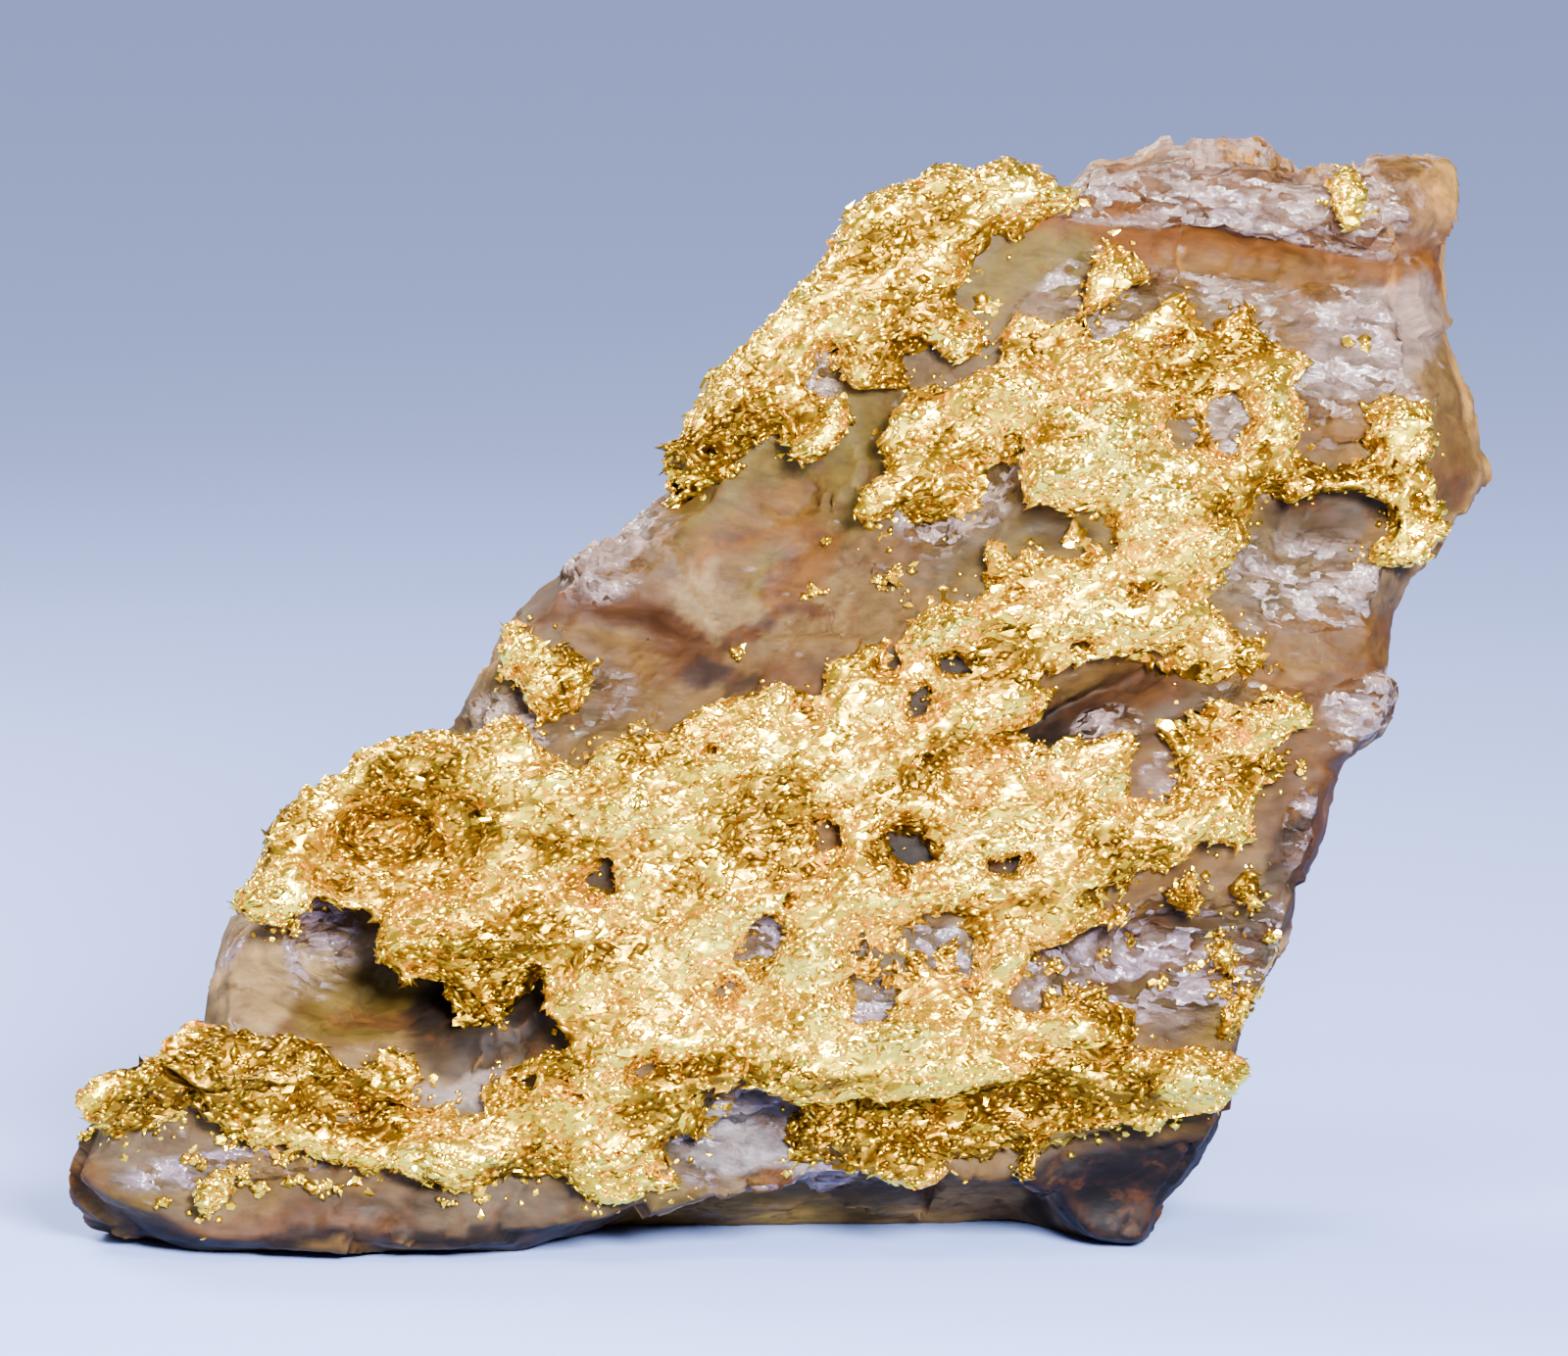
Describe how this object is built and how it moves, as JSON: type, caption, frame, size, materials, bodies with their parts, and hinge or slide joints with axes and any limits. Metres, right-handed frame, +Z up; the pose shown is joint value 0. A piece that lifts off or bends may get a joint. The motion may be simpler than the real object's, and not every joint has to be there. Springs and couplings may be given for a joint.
{
  "type": "gold telluride ore specimen",
  "caption": "Small hand specimen of iron-stained vein quartz whose front is covered by a thick granular crust of bright gold.",
  "frame": {"origin": "centre of the specimen's bounding box at the height of the surface that it rests on", "axes": "+Z up, -Y towards the gold-bearing front face, +X along the longest side from the pointed toe to the overhanging top right corner"},
  "size_m": [0.0242, 0.011, 0.0189],
  "materials": {
    "vein_quartz": "gloss",
    "crystallised_gold": "polished"
  },
  "bodies": {
    "root": {"quartz_matrix": "vein_quartz", "gold_main_crust": "crystallised_gold", "gold_crest_sheet": "crystallised_gold", "gold_patch_left": "crystallised_gold", "gold_patch_top": "crystallised_gold", "gold_patch_crest": "crystallised_gold", "gold_patch_window": "crystallised_gold", "gold_patch_toe_lower": "crystallised_gold", "gold_patch_right_upper": "crystallised_gold", "gold_patch_right_inner": "crystallised_gold", "gold_patch_right_middle": "crystallised_gold", "gold_patch_right_lower": "crystallised_gold"}
  },
  "joints": []
}
